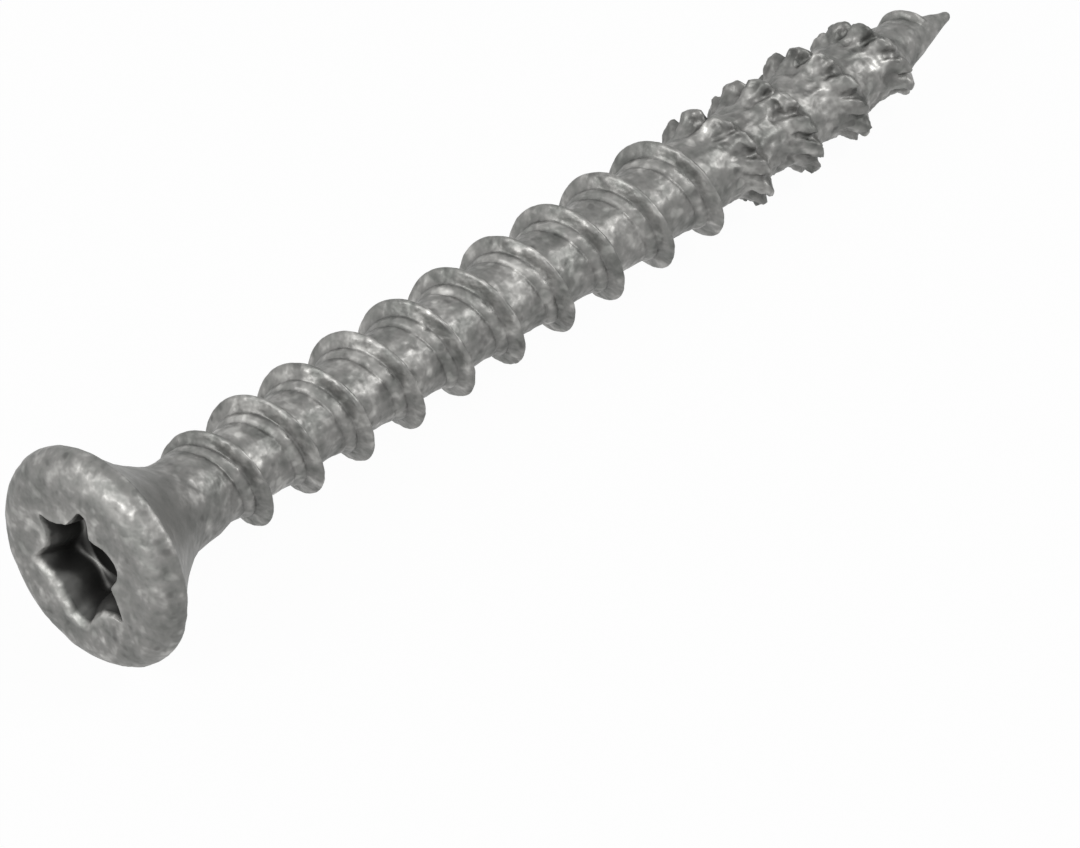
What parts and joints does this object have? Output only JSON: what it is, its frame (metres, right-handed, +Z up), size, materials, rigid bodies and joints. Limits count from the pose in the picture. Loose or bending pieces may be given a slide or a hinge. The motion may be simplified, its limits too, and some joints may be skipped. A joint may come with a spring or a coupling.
{
  "type": "multi-purpose screw",
  "caption": "Galvanised countersunk wood screw with a six-lobed drive recess, full-length coarse thread, serrated lower turns and a sharp point, lying on its side.",
  "frame": {"origin": "on the surface the screw lies on, under the middle of its bounding box", "axes": "+Z up; the screw lies along X with its head towards -X and its point towards +X"},
  "size_m": [0.0502, 0.0098, 0.0097],
  "materials": {
    "zinc_coated_steel": "dull hot-dip galvanised zinc, mottled and slightly lumpy"
  },
  "bodies": {
    "root": {"screw": "zinc_coated_steel"}
  },
  "joints": []
}
